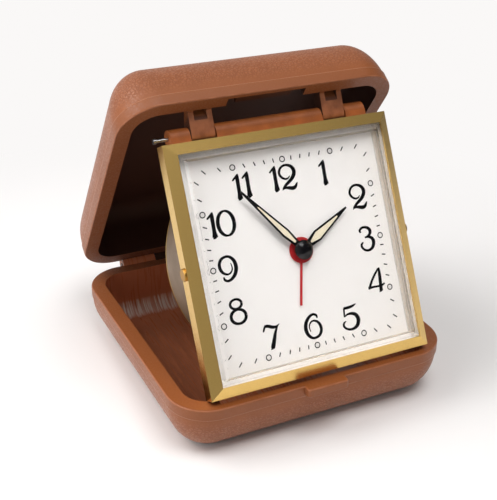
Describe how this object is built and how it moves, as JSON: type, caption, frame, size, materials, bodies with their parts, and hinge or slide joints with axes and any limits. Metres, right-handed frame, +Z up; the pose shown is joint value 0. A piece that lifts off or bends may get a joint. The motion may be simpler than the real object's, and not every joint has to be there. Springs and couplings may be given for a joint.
{
  "type": "folding travel alarm clock",
  "caption": "Folding clam-shell travel alarm clock: square framed clock that leans between a rounded base and its lid, with hands, keys and movement.",
  "frame": {"origin": "middle of the base's flat underside", "axes": "+Z up, +X to the viewer's right, +Y from the dial toward the case hinge at the back"},
  "size_m": [0.0826, 0.0959, 0.0902],
  "materials": {
    "case_plastic": "leather grain outside, smooth rims and inside",
    "gilt_brass": "polished and lacquered, lightly worn",
    "crystal": "clear acrylic, polished",
    "dial_white": "matte white with black print",
    "lume": "aged luminous paint",
    "black_paint": "satin black",
    "red_paint": "satin red",
    "drum_metal": "satin olive grey lacquer",
    "movement_brass": "brushed",
    "steel": "bright",
    "spring_steel": "blued"
  },
  "bodies": {
    "base": {"base_shell": "case_plastic", "case_hinge_pin": "steel"},
    "lid": {"lid_shell": "case_plastic", "catch_strip": "case_plastic"},
    "clock": {"bezel": "gilt_brass", "side_pips": "gilt_brass", "crystal": "crystal", "dial": "dial_white", "hour_dots": "lume", "case_drum": "drum_metal", "rear_cover": "gilt_brass", "rear_cover_screws": "steel", "hinge_bar": "case_plastic", "hinge_bar_screws": "steel", "panel_hinge_pin": "steel", "front_plate": "movement_brass", "back_plate": "movement_brass", "plate_pillars": "movement_brass", "plate_screws": "steel", "cover_posts": "movement_brass", "hairspring": "spring_steel", "bell_post": "steel"},
    "minute": {"minute_hand": "black_paint", "minute_hand_lume": "lume", "hub_cap": "black_paint", "cannon_pinion": "movement_brass"},
    "hour": {"hour_hand": "black_paint", "hour_hand_lume": "lume", "hour_wheel": "movement_brass"},
    "motion_wheel": {"minute_wheel": "movement_brass"},
    "time_setter": {"time_set_stem": "steel", "time_set_knob": "gilt_brass"},
    "alarm_setting": {"alarm_hand": "red_paint", "alarm_wheel": "movement_brass"},
    "alarm_setter": {"alarm_set_stem": "steel", "alarm_set_knob": "gilt_brass"},
    "centre": {"centre_wheel": "movement_brass"},
    "time_drum": {"time_barrel": "movement_brass", "time_mainspring": "spring_steel"},
    "third": {"third_wheel": "movement_brass"},
    "escape": {"escape_wheel": "movement_brass"},
    "pallet": {"pallet_lever": "steel"},
    "balance": {"balance_wheel": "movement_brass"},
    "regulator": {"regulator_lever": "steel"},
    "time_winder": {"time_winding_arbor": "steel", "time_ratchet_wheel": "steel", "time_winding_key": "gilt_brass"},
    "time_pawl": {"time_click": "steel"},
    "alarm_winder": {"alarm_winding_arbor": "steel", "alarm_ratchet_wheel": "steel", "alarm_winding_key": "gilt_brass"},
    "alarm_pawl": {"alarm_click": "steel"},
    "alarm_drum": {"alarm_barrel": "movement_brass", "alarm_mainspring": "spring_steel"},
    "strike": {"strike_wheel": "movement_brass"},
    "hammer": {"alarm_hammer": "steel"},
    "stop_button": {"alarm_stop_button": "gilt_brass"}
  },
  "joints": [
    {"name": "lid_hinge", "type": "hinge", "parent": "base", "child": "lid", "pos_m": [0, 0.04294, 0.01554], "axis": [-1, 0, 0], "range_deg": [0, 54]},
    {"name": "panel_hinge", "type": "hinge", "parent": "lid", "child": "clock", "pos_m": [0.0003, -0.00199, 0.07481], "axis": [1, 0, 0], "range_deg": [0, 62]},
    {"name": "minute_hand_turn", "type": "hinge", "parent": "clock", "child": "minute", "pos_m": [0.0009, -0.02335, 0.04664], "axis": [0, 0.8838, -0.4679], "continuous": true},
    {"name": "hour_hand_turn", "type": "hinge", "parent": "clock", "child": "hour", "pos_m": [0.0009, -0.02335, 0.04664], "axis": [0, 0.8838, -0.4679], "continuous": true},
    {"name": "motion_wheel_turn", "type": "hinge", "parent": "clock", "child": "motion_wheel", "pos_m": [0.0061, -0.01842, 0.04742], "axis": [0, 0.8838, -0.4679], "continuous": true},
    {"name": "time_set_turn", "type": "hinge", "parent": "clock", "child": "time_setter", "pos_m": [0.01069, -0.00159, 0.04287], "axis": [0, 0.8838, -0.4679], "continuous": true},
    {"name": "alarm_hand_turn", "type": "hinge", "parent": "clock", "child": "alarm_setting", "pos_m": [0.0009, -0.02247, 0.04617], "axis": [0, 0.8838, -0.4679], "continuous": true},
    {"name": "alarm_set_turn", "type": "hinge", "parent": "clock", "child": "alarm_setter", "pos_m": [-0.00638, -0.00194, 0.04221], "axis": [0, 0.8838, -0.4679], "continuous": true},
    {"name": "centre_wheel_turn", "type": "hinge", "parent": "clock", "child": "centre", "pos_m": [0.0009, -0.01717, 0.04336], "axis": [0, 0.8838, -0.4679], "continuous": true},
    {"name": "time_barrel_turn", "type": "hinge", "parent": "clock", "child": "time_drum", "pos_m": [-0.00971, -0.01738, 0.03654], "axis": [0, 0.8838, -0.4679], "continuous": true},
    {"name": "third_wheel_turn", "type": "hinge", "parent": "clock", "child": "third", "pos_m": [0.00236, -0.01153, 0.04974], "axis": [0, 0.8838, -0.4679], "continuous": true},
    {"name": "escape_wheel_turn", "type": "hinge", "parent": "clock", "child": "escape", "pos_m": [0.00586, -0.00604, 0.05369], "axis": [0, 0.8838, -0.4679], "continuous": true},
    {"name": "pallet_swing", "type": "hinge", "parent": "clock", "child": "pallet", "pos_m": [0.00034, -0.0047, 0.05408], "axis": [0, 0.8838, -0.4679], "range_deg": [-3, 3]},
    {"name": "balance_swing", "type": "hinge", "parent": "clock", "child": "balance", "pos_m": [-0.00613, -0.00444, 0.05458], "axis": [0, 0.8838, -0.4679], "range_deg": [-135, 135], "stiffness_Nm_per_rad": 0.0000021},
    {"name": "regulator_turn", "type": "hinge", "parent": "clock", "child": "regulator", "pos_m": [-0.00613, -0.00179, 0.05318], "axis": [0, 0.8838, -0.4679], "range_deg": [-18, 18]},
    {"name": "time_wind_turn", "type": "hinge", "parent": "clock", "child": "time_winder", "pos_m": [-0.00971, -0.00766, 0.0314], "axis": [0, 0.8838, -0.4679], "continuous": true},
    {"name": "time_click_lift", "type": "hinge", "parent": "clock", "child": "time_pawl", "pos_m": [-0.01311, -0.01498, 0.02826], "axis": [0, 0.8838, -0.4679], "range_deg": [0, 12], "stiffness_Nm_per_rad": 0.0001, "springref_deg": -11.46},
    {"name": "alarm_wind_turn", "type": "hinge", "parent": "clock", "child": "alarm_winder", "pos_m": [0.01151, -0.00766, 0.0314], "axis": [0, 0.8838, -0.4679], "continuous": true},
    {"name": "alarm_click_lift", "type": "hinge", "parent": "clock", "child": "alarm_pawl", "pos_m": [0.01491, -0.01498, 0.02826], "axis": [0, -0.8838, 0.4679], "range_deg": [0, 12], "stiffness_Nm_per_rad": 0.0001, "springref_deg": -11.46},
    {"name": "alarm_barrel_turn", "type": "hinge", "parent": "clock", "child": "alarm_drum", "pos_m": [0.01151, -0.01738, 0.03654], "axis": [0, 0.8838, -0.4679], "continuous": true},
    {"name": "strike_wheel_turn", "type": "hinge", "parent": "clock", "child": "strike", "pos_m": [0.01896, -0.01588, 0.0458], "axis": [0, 0.8838, -0.4679], "continuous": true},
    {"name": "hammer_swing", "type": "hinge", "parent": "clock", "child": "hammer", "pos_m": [0.02359, -0.00893, 0.03968], "axis": [0, 0.8838, -0.4679], "range_deg": [-12, 2], "stiffness_Nm_per_rad": 0.0005},
    {"name": "stop_button_press", "type": "slide", "parent": "clock", "child": "stop_button", "axis": [0, -0.8838, 0.4679], "range_m": [0, 0.0015], "stiffness_N_per_m": 150, "springref_m": -0.001}
  ],
  "couplings": [
    {"joint": "hour_hand_turn", "follows": "minute_hand_turn", "ratio": 0.083333},
    {"joint": "motion_wheel_turn", "follows": "minute_hand_turn", "ratio": -0.33333},
    {"joint": "time_set_turn", "follows": "minute_hand_turn", "ratio": 1},
    {"joint": "alarm_set_turn", "follows": "alarm_hand_turn", "ratio": -5.3333},
    {"joint": "time_barrel_turn", "follows": "centre_wheel_turn", "ratio": -0.16667},
    {"joint": "third_wheel_turn", "follows": "centre_wheel_turn", "ratio": -6},
    {"joint": "escape_wheel_turn", "follows": "centre_wheel_turn", "ratio": 36},
    {"joint": "strike_wheel_turn", "follows": "alarm_barrel_turn", "ratio": -6.25}
  ]
}
